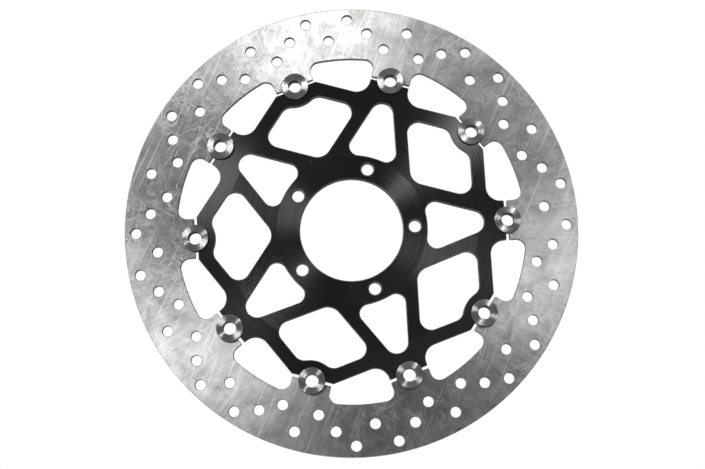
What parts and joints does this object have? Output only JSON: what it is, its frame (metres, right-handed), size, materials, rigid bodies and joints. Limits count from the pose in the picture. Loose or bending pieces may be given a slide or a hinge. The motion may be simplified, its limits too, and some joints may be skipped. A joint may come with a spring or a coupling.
{
  "type": "motorcycle brake disc",
  "caption": "Floating motorcycle brake disc: a drilled steel friction band carried by bobbins on a dished black aluminium carrier with arms.",
  "frame": {"origin": "on the disc axis, in the back face of the hub ring, which is the face that bolts to the wheel", "axes": "+Z along the disc axis towards the bobbin heads (the outer side), +X and +Y in the plane of the disc; the first bobbin is at 75.5 degrees from +X"},
  "size_m": [0.32, 0.32, 0.0104],
  "materials": {
    "ground_steel": "ground stainless steel with fine cross-hatched grinding lines",
    "black_anodised": "satin black anodised aluminium with faint turning lines",
    "turned_steel": "bright turned stainless steel with concentric tool marks",
    "spring_steel": "blued spring steel",
    "washer_steel": "stamped stainless steel, tumbled",
    "ring_steel": "black phosphated spring steel"
  },
  "bodies": {
    "carrier": {"carrier": "black_anodised"},
    "brake_band": {"brake_band": "ground_steel"},
    "bobbin_01": {"bobbin_01": "turned_steel", "spring_washer_01": "spring_steel", "flat_washer_01": "washer_steel", "retaining_ring_01": "ring_steel"},
    "bobbin_02": {"bobbin_02": "turned_steel", "spring_washer_02": "spring_steel", "flat_washer_02": "washer_steel", "retaining_ring_02": "ring_steel"},
    "bobbin_03": {"bobbin_03": "turned_steel", "spring_washer_03": "spring_steel", "flat_washer_03": "washer_steel", "retaining_ring_03": "ring_steel"},
    "bobbin_04": {"bobbin_04": "turned_steel", "spring_washer_04": "spring_steel", "flat_washer_04": "washer_steel", "retaining_ring_04": "ring_steel"},
    "bobbin_05": {"bobbin_05": "turned_steel", "spring_washer_05": "spring_steel", "flat_washer_05": "washer_steel", "retaining_ring_05": "ring_steel"},
    "bobbin_06": {"bobbin_06": "turned_steel", "spring_washer_06": "spring_steel", "flat_washer_06": "washer_steel", "retaining_ring_06": "ring_steel"},
    "bobbin_07": {"bobbin_07": "turned_steel", "spring_washer_07": "spring_steel", "flat_washer_07": "washer_steel", "retaining_ring_07": "ring_steel"},
    "bobbin_08": {"bobbin_08": "turned_steel", "spring_washer_08": "spring_steel", "flat_washer_08": "washer_steel", "retaining_ring_08": "ring_steel"},
    "bobbin_09": {"bobbin_09": "turned_steel", "spring_washer_09": "spring_steel", "flat_washer_09": "washer_steel", "retaining_ring_09": "ring_steel"},
    "bobbin_10": {"bobbin_10": "turned_steel", "spring_washer_10": "spring_steel", "flat_washer_10": "washer_steel", "retaining_ring_10": "ring_steel"}
  },
  "joints": [
    {"name": "band_float", "type": "slide", "parent": "carrier", "child": "brake_band", "axis": [0, 0, 1], "range_m": [-0.0002, 0.0002], "stiffness_N_per_m": 200000},
    {"name": "bobbin_01_spin", "type": "hinge", "parent": "carrier", "child": "bobbin_01", "pos_m": [0.02767, 0.10698, 0.006], "axis": [0, 0, 1], "continuous": true},
    {"name": "bobbin_02_spin", "type": "hinge", "parent": "carrier", "child": "bobbin_02", "pos_m": [-0.0405, 0.10281, 0.006], "axis": [0, 0, 1], "continuous": true},
    {"name": "bobbin_03_spin", "type": "hinge", "parent": "carrier", "child": "bobbin_03", "pos_m": [-0.0932, 0.05937, 0.006], "axis": [0, 0, 1], "continuous": true},
    {"name": "bobbin_04_spin", "type": "hinge", "parent": "carrier", "child": "bobbin_04", "pos_m": [-0.11029, -0.00675, 0.006], "axis": [0, 0, 1], "continuous": true},
    {"name": "bobbin_05_spin", "type": "hinge", "parent": "carrier", "child": "bobbin_05", "pos_m": [-0.08526, -0.07029, 0.006], "axis": [0, 0, 1], "continuous": true},
    {"name": "bobbin_06_spin", "type": "hinge", "parent": "carrier", "child": "bobbin_06", "pos_m": [-0.02767, -0.10698, 0.006], "axis": [0, 0, 1], "continuous": true},
    {"name": "bobbin_07_spin", "type": "hinge", "parent": "carrier", "child": "bobbin_07", "pos_m": [0.0405, -0.10281, 0.006], "axis": [0, 0, 1], "continuous": true},
    {"name": "bobbin_08_spin", "type": "hinge", "parent": "carrier", "child": "bobbin_08", "pos_m": [0.0932, -0.05937, 0.006], "axis": [0, 0, 1], "continuous": true},
    {"name": "bobbin_09_spin", "type": "hinge", "parent": "carrier", "child": "bobbin_09", "pos_m": [0.11029, 0.00675, 0.006], "axis": [0, 0, 1], "continuous": true},
    {"name": "bobbin_10_spin", "type": "hinge", "parent": "carrier", "child": "bobbin_10", "pos_m": [0.08526, 0.07029, 0.006], "axis": [0, 0, 1], "continuous": true}
  ]
}
